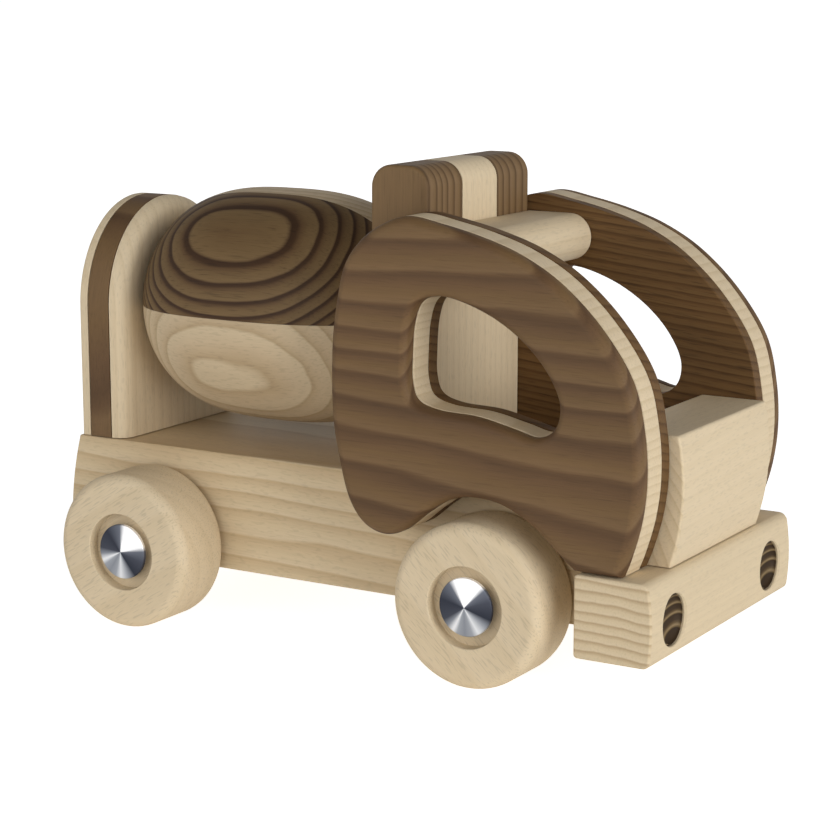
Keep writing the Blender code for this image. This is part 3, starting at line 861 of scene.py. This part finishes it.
@dataclass
class CabSides:
    """Two cab sides of three boards each, with a window and a wheel arch."""

    datum: Datum
    eye: tuple[float, float] = (142.0, 84.0)
    foot: tuple[tuple[float, float], tuple[float, float]] = ((169.2, 34.55), (182.0, 34.55))
    rim: tuple[tuple[float, float], ...] = (
        (183.9, 39.5), (186.4, 48.5), (187.6, 59.0), (186.8, 71.0), (183.4, 83.9), (174.6, 96.4),
        (163.5, 106.5), (152.2, 112.9), (140.8, 116.8), (129.4, 119.4), (119.7, 120.9), (112.2, 118.5),
        (105.8, 113.9), (101.1, 107.4), (98.7, 97.8), (97.2, 86.0), (97.2, 68.0), (99.5, 54.5),
        (102.4, 45.0), (107.0, 39.1), (113.0, 37.0), (119.0, 38.7), (126.0, 44.2), (133.0, 48.6),
        (141.0, 50.0), (149.4, 48.6), (158.0, 43.9), (164.6, 38.2),
    )
    window: tuple[tuple[float, float], ...] = (
        (120.4, 84.0), (120.5, 78.0), (122.4, 73.4), (128.6, 71.4), (140.0, 70.8), (150.0, 68.8),
        (157.6, 67.3), (163.2, 70.4), (164.4, 77.0), (160.6, 84.6), (154.0, 91.4), (145.5, 96.8),
        (136.0, 100.3), (129.0, 101.1), (123.5, 99.0), (121.1, 93.0),
    )
    steps: int = 10
    marches: int = 14
    rim_round: float = 2.6
    window_round: float = 2.2
    ease: float = 0.4

    def outline(self) -> np.ndarray:
        """The side's outline: the straight foot, then the smooth curve round to it again.

        Returns:
            Points, two columns.
        """
        rear, front = self.foot
        curve = smooth_path((front,) + self.rim + (rear,), False, self.steps)
        return np.vstack([np.linspace(rear, front, 6)[:-1], curve[:-1]])

    def ring(self, loop: np.ndarray, angles: np.ndarray, inset: float, into: float) -> np.ndarray:
        """A loop's inset, read along rays from the window's eye.

        Each ray starts on the loop and steps on by the inset less its distance to the loop, until
        that distance is the inset. All rings lie on the same rays, so none of them can fold.

        Args:
            loop: points round the eye, in order.
            angles: the rays' angles, in radians.
            inset: the distance to reach.
            into: +1 to step towards the eye, -1 to step away from it.

        Returns:
            Points, two columns.
        """
        away = loop - self.eye
        bearing = np.arctan2(away[:, 1], away[:, 0])
        order = np.argsort(bearing)
        reach = np.interp(angles, bearing[order], np.hypot(*away.T)[order], period=2 * math.pi)
        ray = np.column_stack([np.cos(angles), np.sin(angles)])
        span = np.roll(loop, -1, 0) - loop
        for _ in range(self.marches if inset > 0 else 0):
            off = (self.eye + reach[:, None] * ray)[:, None] - loop
            share = np.clip((off * span).sum(-1) / (span * span).sum(-1), 0, 1)
            gap = np.linalg.norm(off - share[..., None] * span, axis=-1).min(1)
            reach = reach - into * (inset - gap)
        return self.eye + reach[:, None] * ray

    def board(self, name: str, low: float, high: float, sign: float, rim_round: float,
              window_round: float) -> bpy.types.Object:
        """One board: a section that runs round the window's edge, across the outer face, round the
        rim and back across the inner face, carried round the eye.

        Args:
            name: the object's name.
            low: the inner face's distance from the middle plane.
            high: the outer face's distance.
            sign: -1 for the near side, +1 for the far side.
            rim_round: the round on the outer face's rim.
            window_round: the round on the outer face's window edge.

        Returns:
            The new object.
        """
        outline = self.outline()
        angles = np.arctan2(*(outline - self.eye).T[::-1])
        hole = smooth_path(self.window, True, self.steps)
        rounds = ((hole, -1.0, quarter_round(low, self.ease, -1.0)[::-1]),
                  (hole, -1.0, quarter_round(high, window_round, 1.0)),
                  (outline, 1.0, quarter_round(high, rim_round, 1.0)[::-1]),
                  (outline, 1.0, quarter_round(low, self.ease, -1.0)))
        rings = [Axis.Y.place(*self.ring(loop, angles, inset, into).T, np.full(len(angles), station * sign))
                 for loop, into, levels in rounds for station, inset in levels]
        return surface(name, self.datum.metres(np.stack(rings)), True)

    def finishes(self, side: str) -> dict[str, Timber]:
        """The timber of each of a side's boards.

        Args:
            side: near or far.

        Returns:
            The finish for each layer.
        """
        salt = 0.0 if side == "near" else 9.0
        return {
            "inner": replace(
                ASH, name=f"heat_treated_ash_{side}_inner", grain=(1, 0, -0.1), rings=(0, 0.2, 1), spacing=2.4,
                ring_colours=((0.0, "#6E5230"), (0.5, "#6A4D2C"), (0.85, "#543A1D"), (1.0, "#6E5230")),
                wobble=0.9, pith=200, pores=0.3, fibre=0.2, seed=salt + 1.0),
            "middle": replace(BEECH, name=f"beech_{side}_middle", spacing=2.4, pith=260, wobble=0.6,
                              face_contrast=0.6, seed=salt + 2.0),
            "outer": replace(ASH, name=f"heat_treated_ash_{side}_outer", rings=(0, -0.8, 0.6), spacing=5.0,
                             wobble=1.6, fan=0.0024, fan_from=12.0, seed=salt + 3.0),
        }

    def build(self) -> None:
        """Makes the six boards."""
        for side, sign in SIDES.items():
            for layer, finish in self.finishes(side).items():
                node = f"{side}_side_{layer}"
                low, high = self.datum.span(node)
                inside, outside = sorted(abs(v) for v in (low[1], high[1]))
                is_outer = layer == "outer"
                piece = self.board(f"{side}_cab_{layer}", inside, outside, sign,
                                   self.rim_round if is_outer else self.ease,
                                   self.window_round if is_outer else self.ease)
                settle(piece, node, "root", finish)


@dataclass
class CabFrame:
    """The back wall, the three blocks on the roof and the round-nosed beam."""

    datum: Datum
    edge: float = 0.4
    block_round: float = 6.0

    def build_wall(self) -> None:
        """Makes the back wall, with upright grain."""
        low, high = self.datum.span("cab_back_wall")
        outline = filleted(((low[0], low[2], 0.0), (high[0], low[2], 0.0), (high[0], high[2], 0.0),
                            (low[0], high[2], 0.0)))
        wall = slab("back_wall", self.datum, Axis.Y, outline, eased(low[1], high[1], self.edge, self.edge))
        finish = replace(BEECH, name="beech_back_wall", grain=(0, 0, 1), rings=(0.1, 1, 0), spacing=3.4,
                         pith=150, wobble=0.9, face_contrast=0.3, seed=6.1)
        settle(wall, "cab_back_wall", "root", finish)

    def build_blocks(self) -> None:
        """Makes the three blocks, whose top corners are rounded."""
        dark = replace(ASH, grain=(0, 0, 1), rings=(0.06, 1, 0), spacing=3.4, wobble=0.7, pith=160, tone=0.08,
                       ring_colours=((0.0, "#83694A"), (0.5, "#7B6141"), (0.84, "#594229"), (1.0, "#83694A")))
        light = replace(BEECH, grain=(0, 0, 1), rings=(0.1, 1, 0), spacing=2.8, pith=160, face_contrast=0.25)
        finishes = {"near": replace(dark, name="heat_treated_ash_block_near", seed=1.9),
                    "middle": replace(light, name="beech_block_middle", seed=2.9),
                    "far": replace(dark, name="heat_treated_ash_block_far", seed=8.9)}
        for place, finish in finishes.items():
            node = f"top_block_{place}"
            low, high = self.datum.span(node)
            r = self.block_round
            outline = filleted(((low[0], low[2], 0.0), (high[0], low[2], 0.0), (high[0], high[2], r),
                                (low[0], high[2], r)), 12)
            near_edge = self.edge * 2.5 if place == "near" else 0.12
            far_edge = self.edge * 2.5 if place == "far" else 0.12
            block = slab(f"roof_block_{place}", self.datum, Axis.Y, outline,
                         eased(low[1], high[1], near_edge, far_edge))
            settle(block, node, "root", finish)

    def build_beam(self) -> None:
        """Makes the beam over the windscreen, with its full round nose."""
        low, high = self.datum.span("roof_beam")
        radius = (high[2] - low[2]) / 2
        nose = arc((high[0] - radius, low[2] + radius), (radius, radius), -90, 90, 28)
        outline = np.vstack([nose, [[low[0], high[2]], [low[0], low[2]]]])
        beam = slab("windscreen_beam", self.datum, Axis.Y, outline, eased(low[1], high[1], 0.3, 0.3))
        finish = replace(BEECH, name="beech_beam", grain=(0, 1, 0), rings=(0.3, 0, 1), pith=70, seed=4.4)
        settle(beam, "roof_beam", "root", finish)

    def build(self) -> None:
        """Makes all of the cab's frame."""
        self.build_wall()
        self.build_blocks()
        self.build_beam()


@dataclass
class Front:
    """The bonnet block, the bumper beam and the two headlamp recesses.

    Each skin is how far in from a beam's ends its end grain shows.
    """

    datum: Datum
    hood_bulge: float = 62.0
    hood_middle: float = 54.5
    hood_corner: float = 0.7
    hood_brow: float = 0.9
    bumper_corner: float = 2.6
    bumper_middle: float = 22.0
    bumper_bulge: float = 62.0
    bumper_swell: float = 0.8
    end_round: float = 0.7
    lamp_radius: float = 6.8
    lamp_flare: float = 0.3
    lamp_dish: float = 2.4
    lamp_clearance: float = 0.05
    around: int = 96
    hood_skin: float = 0.25
    bumper_skin: float = 0.3

    def build_hood(self) -> None:
        """Makes the bonnet, whose front bulges and whose upright edges are rounded."""
        low, high = self.datum.span("hood_block")
        r = self.hood_brow
        front = bulge(high[0], self.hood_middle, self.hood_bulge, low[2], high[2] - r, 24)
        outline = np.vstack([front, arc((front[-1, 0] - r, high[2] - r), (r, r), 20, 90, 5),
                             arc((low[0] + 2.4, high[2] - 2.4), (2.4, 2.4), 90, 180, 8), [[low[0], low[2]]]])
        levels = eased(low[1], high[1], self.hood_corner, self.hood_corner)
        hood = slab("bonnet", self.datum, Axis.Y, outline, levels, low[2] + 0.5)
        finish = replace(
            BEECH, name="beech_bonnet", grain=(0, 1, 0.03), rings=(0.8, 0, 0.6), spacing=2.6, pith=60,
            ring_colours=((0.0, "#DCC9A9"), (0.5, "#D9C6A5"), (0.88, "#CFBA96"), (1.0, "#DCC9A9")),
            fibre=0.05, face_contrast=0.22, end_reach=high[1] - self.hood_skin, seed=3.7)
        settle(hood, "hood_block", "root", finish)

    def build_lamp(self, beam: bpy.types.Object, side: str, mouth: float) -> None:
        """Cuts one flared headlamp recess and sets its dished plug at the bottom.

        Args:
            beam: the bumper beam.
            side: near or far.
            mouth: how far forward the recess opens.
        """
        low, high = self.datum.span(f"headlamp_plug_{side}")
        middle = (0, (low[1] + high[1]) / 2, (low[2] + high[2]) / 2)
        flare, radius = self.lamp_flare, self.lamp_radius
        drill = np.array([[low[0] - 0.3, radius], [mouth - flare - 0.3, radius], [mouth + 1, radius + flare + 1]])
        cut(beam, spindle("drill", self.datum, Axis.X, middle, drill, self.around))
        turn = np.linspace(0, math.pi / 2, 12)
        radius -= self.lamp_clearance
        rim = mouth - flare - 0.6
        dish = np.column_stack([rim - self.lamp_dish * np.sin(turn), (radius - 0.5) * np.cos(turn)])
        body = np.vstack([[[low[0], radius - 0.3], [low[0] + 0.3, radius], [rim - 0.3, radius],
                           [rim, radius - 0.3]], dish[:-1]])
        plug = spindle(f"lamp_plug_{side}", self.datum, Axis.X, middle, body, self.around)
        # The plug is dark heat-treated ash. Its ring colours are darkened further, as painted shade of the deep
        # recess.
        finish = replace(
            ASH, name=f"heat_treated_ash_plug_painted_shade_{side}", grain=(0, 1, 0.35), rings=(0, -0.35, 1), spacing=2.7,
            ring_colours=((0.0, "#8F7A58"), (0.16, "#5F4C31"), (0.35, "#3F2F1D"), (0.82, "#362716"),
                          (0.93, "#7A6543"), (1.0, "#8F7A58")),
            pith=14, wobble=0.5, uneven=0.3, seed=1.5 + SIDES[side])
        settle(plug, f"headlamp_plug_{side}", "root", finish)

    def build_bumper(self) -> None:
        """Makes the bumper beam, with flared headlamp recesses and their plugs."""
        low, high = self.datum.span("bumper")
        r = self.bumper_corner
        face = bulge(high[0] + self.bumper_swell, self.bumper_middle, self.bumper_bulge, low[2] + 0.8 * r,
                     high[2] - r, 14)
        brow = arc((face[-1, 0] - r, high[2] - r), (r, r), 12, 90, 9)
        foot = arc((face[0, 0] - 0.8 * r, low[2] + 0.8 * r), (0.8 * r, 0.8 * r), -90, -10, 8)
        rear = [arc((low[0] + 1, height), (1, 1), start, start + 90, 5)
                for height, start in ((high[2] - 1, 90), (low[2] + 1, 180))]
        outline = np.vstack([foot[:-1], face, brow[1:], *rear])
        levels = eased(low[1], high[1], self.end_round, self.end_round)
        beam = slab("bumper_beam", self.datum, Axis.Y, outline, levels)
        for side in SIDES:
            self.build_lamp(beam, side, high[0] + self.bumper_swell)
        finish = replace(BEECH, name="beech_bumper", grain=(0, 1, 0), rings=(0.05, 0, 1), spacing=2.7, pith=300,
                         ring_colours=((0.0, "#DAC7A6"), (0.5, "#D4C09D"), (0.84, "#BAA17E"), (1.0, "#DAC7A6")),
                         wobble=0.7, wobble_width=9.0, uneven=0.5, flecks=0.05, face_contrast=0.12,
                         end_reach=high[1] - self.bumper_skin, seed=5.5)
        settle(beam, "bumper", "root", finish)

    def build(self) -> None:
        """Makes all of the front."""
        self.build_hood()
        self.build_bumper()


@dataclass
class RunningGear:
    """Four turned wheels with recessed faces, and the spun caps on their axles, whose highlights and reflections
    are painted.
    """

    datum: Datum
    outer_round: float = 3.0
    inner_round: float = 2.5
    recess: float = 10.9
    recess_depth: float = 3.6
    recess_round: float = 0.3
    bore: float = 2.8
    cap_rim: float = 0.9
    cap_edge: float = 0.35
    around: int = 128
    slopes: dict[str, float] = field(default_factory=lambda: {
        "rear_near": 32.0, "front_near": -44.0, "rear_far": 70.0, "front_far": -20.0})
    # Turn of each cap's painted highlight and reflection rays, set to where the light falls on that cap.
    rays: dict[str, float] = field(default_factory=lambda: {
        "rear_near": -0.1, "front_near": 0.0, "rear_far": 0.3, "front_far": 0.15})

    def wheel_section(self, half: float, radius: float) -> np.ndarray:
        """The wheel's closed section: stations run from its middle plane to its outer face.

        Args:
            half: half the wheel's width.
            radius: the tread's radius.

        Returns:
            Station and radius, two columns.
        """
        floor = half - self.recess_depth
        ease = self.recess_round
        lip = arc((half - ease, self.recess + ease), (ease, ease), -90, -0.1, 5)
        shoulder = arc((half - self.outer_round, radius - self.outer_round),
                       (self.outer_round, self.outer_round), 0, 90, 12)
        back = arc((-half + self.inner_round, radius - self.inner_round),
                   (self.inner_round, self.inner_round), 90, 180, 6)
        return np.vstack([
            [[floor, self.bore], [floor, self.recess - 0.4], [floor + 0.1, self.recess - 0.1]],
            [[floor + 0.4, self.recess]],
            lip,
            [[half, radius - self.outer_round - 3]], shoulder, back,
            [[-half, radius - self.inner_round - 3], [-half, self.bore]],
        ])

    def build_wheel(self, row: str, side: str) -> None:
        """Turns one wheel, with its grain lying in its plane at its own slope.

        Args:
            row: front or rear.
            side: near or far.
        """
        sign = SIDES[side]
        node = f"{row}_wheel_{side}"
        low, high = self.datum.span(node)
        centre = (low + high) / 2
        profile = self.wheel_section((high[1] - low[1]) / 2, (high[2] - low[2]) / 2) * (sign, 1.0)
        wheel = turning(f"{row}_{side}_wheel", self.datum, Axis.Y, centre, profile, self.around)
        slope = math.radians(self.slopes[f"{row}_{side}"])
        finish = replace(BEECH, name=f"beech_wheel_{row}_{side}", grain=(math.cos(slope), 0.0, math.sin(slope)),
                         rings=(-0.5 * math.sin(slope), 1.0, 0.5 * math.cos(slope)), spacing=6.0, pith=90,
                         wobble=1.4, fibre=0.05, flecks=0.14, fleck_size=(3.4, 0.4), tone=0.06,
                         ring_colours=((0.0, "#DCC9A9"), (0.5, "#D8C4A2"), (0.85, "#CEB893"), (1.0, "#DCC9A9")),
                         seed=3.0 * len(row) + sign)
        settle(wheel, node, f"wheel_{row}_{side}", finish)

    def build_cap(self, row: str, side: str) -> None:
        """Spins one cap: a rim, a rounded edge and a shallow cone.

        Args:
            row: front or rear.
            side: near or far.
        """
        sign = SIDES[side]
        node = f"{row}_axle_cap_{side}"
        low, high = self.datum.span(node)
        centre = (low + high) / 2
        radius = (high[2] - low[2]) / 2
        under, top = sorted(abs(v) for v in (low[1], high[1]))
        shoulder = arc((under + self.cap_rim, radius - self.cap_edge), (self.cap_edge,) * 2, 90, 8, 6)
        cone = np.column_stack([np.linspace(shoulder[-1, 0] + 0.02, top, 12)[:-1],
                                np.linspace(shoulder[-1, 1] - 0.1, 0.0, 12)[:-1]])
        socket = [[under + 0.9, 1.2], [under + 0.9, self.bore], [under, self.bore],
                  [under, radius - 0.3], [under + 0.3, radius]]
        profile = np.vstack([socket, shoulder, cone]) * (sign, 1.0)
        cap = spindle(f"{row}_{side}_cap", self.datum, Axis.Y, (centre[0], 0, centre[2]), profile, self.around)
        # The cap's highlights and reflections are painted into its colour and glow.
        finish = SteelWithPaintedHighlights(f"nickel_plated_steel_spun_{row}_{side}", turn=self.rays[f"{row}_{side}"])
        settle(cap, node, "root", finish)

    def build(self) -> None:
        """Makes the wheels and caps."""
        for row in ("rear", "front"):
            for side in SIDES:
                self.build_wheel(row, side)
                self.build_cap(row, side)


@dataclass
class HiddenPieces:
    """The axles and dowels, whose CAD shapes stay and get their real finishes."""

    axles: tuple[str, ...] = ("rear_axle", "front_axle")
    rods: tuple[str, ...] = ("drum_pin", "bumper_dowel_near", "bumper_dowel_far", "wall_dowel_near",
                             "wall_dowel_far", "upright_dowel_near", "upright_dowel_far")

    def build(self) -> None:
        """Dresses the CAD nodes."""
        steel = DrawnSteel().build()
        rod = replace(BEECH, name="beech_dowel_rod", grain=(0.2, 0.1, 1.0), seed=11.0).build(Vector())
        for names, material in ((self.axles, steel), (self.rods, rod)):
            for name in names:
                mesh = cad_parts[name].data
                mesh.materials.clear()
                mesh.materials.append(material)
                LOG.info("%s: kept from the frame", name)


@dataclass
class Studio:
    """A pale sweep, soft lights and the camera."""

    target: tuple[float, float, float] = (0.0048, 0.0, 0.05868)
    distance: float = 0.6424
    azimuth: float = 30.92
    elevation: float = 11.21
    lens: float = 98.37
    horizon: float = 0.72
    zenith: float = 0.15
    glow: float = 0.22
    seen_glow: float = 0.8

    def aim(self, thing: bpy.types.Object, target: Sequence[float]) -> None:
        """Turns a light or camera to look at a point."""
        away = Vector(target) - thing.location
        thing.rotation_euler = away.to_track_quat("-Z", "Y").to_euler()

    def build_camera(self) -> None:
        """Makes the camera."""
        data = bpy.data.cameras.new("camera")
        data.lens = self.lens
        data.sensor_width = 36.0
        data.clip_end = 100.0
        camera = bpy.data.objects.new("camera", data)
        bpy.context.scene.collection.objects.link(camera)
        azimuth, elevation = math.radians(self.azimuth), math.radians(self.elevation)
        camera.location = Vector(self.target) + self.distance * Vector((
            math.sin(azimuth) * math.cos(elevation), -math.cos(azimuth) * math.cos(elevation),
            math.sin(elevation)))
        self.aim(camera, self.target)
        bpy.context.scene.camera = camera

    def build_floor(self) -> None:
        """Makes the floor, a wide pale disc that runs to the horizon."""
        count, around, reach = 24, 96, 30.0
        radius = reach * np.linspace(0.01, 1, count)[:, None] ** 2
        turn = np.radians(np.linspace(0, 360, around, endpoint=False))[None]
        points = np.stack([radius * np.cos(turn), radius * np.sin(turn), np.zeros((count, around))], -1)
        mesh = bpy.data.meshes.new("floor")
        index = np.arange(count * around).reshape(count, around)
        here, there = index[:-1], index[1:]
        quads = np.stack([here, there, np.roll(there, -1, 1), np.roll(here, -1, 1)], -1).reshape(-1, 4)
        mesh.from_pydata(points.reshape(-1, 3).tolist(), [], quads.tolist() + [index[0].tolist()])
        floor = bpy.data.objects.new("floor", mesh)
        bpy.context.scene.collection.objects.link(floor)
        # Matt white paper: an even ground that the camera sees as white, with a soft shadow.
        material, tree, shader = new_tree("paper_sweep_matt")
        place = add(tree, "ShaderNodeTexCoord", {}, "Object")
        speckle = add(tree, "ShaderNodeTexNoise", {"Vector": place, "Scale": 600.0})
        paper = add(tree, "ShaderNodeValToRGB", {"Fac": speckle}, stops=((0.0, "#F6F6F6"), (1.0, "#FAFAFA")))
        tree.links.new(paper, shader.inputs["Base Color"])
        shader.inputs["Roughness"].default_value = 0.9
        shader.inputs["Specular IOR Level"].default_value = 0.1
        shader.inputs["Emission Color"].default_value = (1, 1, 1, 1)
        seen = add(tree, "ShaderNodeLightPath", {}, "Is Camera Ray")
        glow = add(tree, "ShaderNodeMath", {0: seen, 1: self.seen_glow - self.glow, 2: self.glow},
                   operation="MULTIPLY_ADD")
        tree.links.new(glow, shader.inputs["Emission Strength"])
        mesh.materials.append(material)

    def light(self, name: str, place: Sequence[float], size: float, power: float) -> None:
        """Hangs one square soft light.

        Args:
            name: its name.
            place: where it hangs, in metres.
            size: its side, in metres.
            power: its power in watts.
        """
        data = bpy.data.lights.new(name, "AREA")
        data.shape = "SQUARE"
        data.size = size
        data.energy = power
        lamp = bpy.data.objects.new(name, data)
        lamp.location = place
        bpy.context.scene.collection.objects.link(lamp)
        self.aim(lamp, self.target)

    def build(self) -> None:
        """Makes the whole studio."""
        scene = bpy.context.scene
        scene.view_settings.view_transform = "Standard"
        world = bpy.data.worlds.new("studio")
        world.use_nodes = True
        tree = world.node_tree
        sky = tree.nodes["Background"]
        sky.inputs["Color"].default_value = (1, 1, 1, 1)
        way = add(tree, "ShaderNodeTexCoord", {}, "Generated")
        height = add(tree, "ShaderNodeSeparateXYZ", {0: way}, 2)
        dim = add(tree, "ShaderNodeMapRange", {"Value": height, "From Min": 0.0, "From Max": 0.7,
                                               "To Min": self.horizon, "To Max": self.zenith})
        seen = add(tree, "ShaderNodeLightPath", {}, "Is Camera Ray")
        strength = add(tree, "ShaderNodeMath", {0: dim, 1: seen}, operation="MAXIMUM")
        tree.links.new(strength, sky.inputs["Strength"])
        scene.world = world
        self.build_camera()
        self.build_floor()
        self.light("key_from_the_front", (1.5, -0.5, 0.42), 1.0, 15.0)
        self.light("fill_from_the_left", (-0.3, -1.55, 0.35), 1.2, 7.0)
        self.light("fill_from_behind", (-0.9, 1.3, 0.5), 1.2, 1.5)


def main() -> None:
    """Builds the lorry and its studio."""
    logging.basicConfig(level=logging.INFO, format="%(name)s: %(message)s")
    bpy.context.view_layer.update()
    datum = Datum()
    Studio().build()
    for assembly in (Chassis(datum), Upright(datum), Drum(datum), CabSides(datum), CabFrame(datum),
                     Front(datum), RunningGear(datum), HiddenPieces()):
        LOG.info("building %s", type(assembly).__name__)
        assembly.build()


if __name__ == "__main__":
    main()
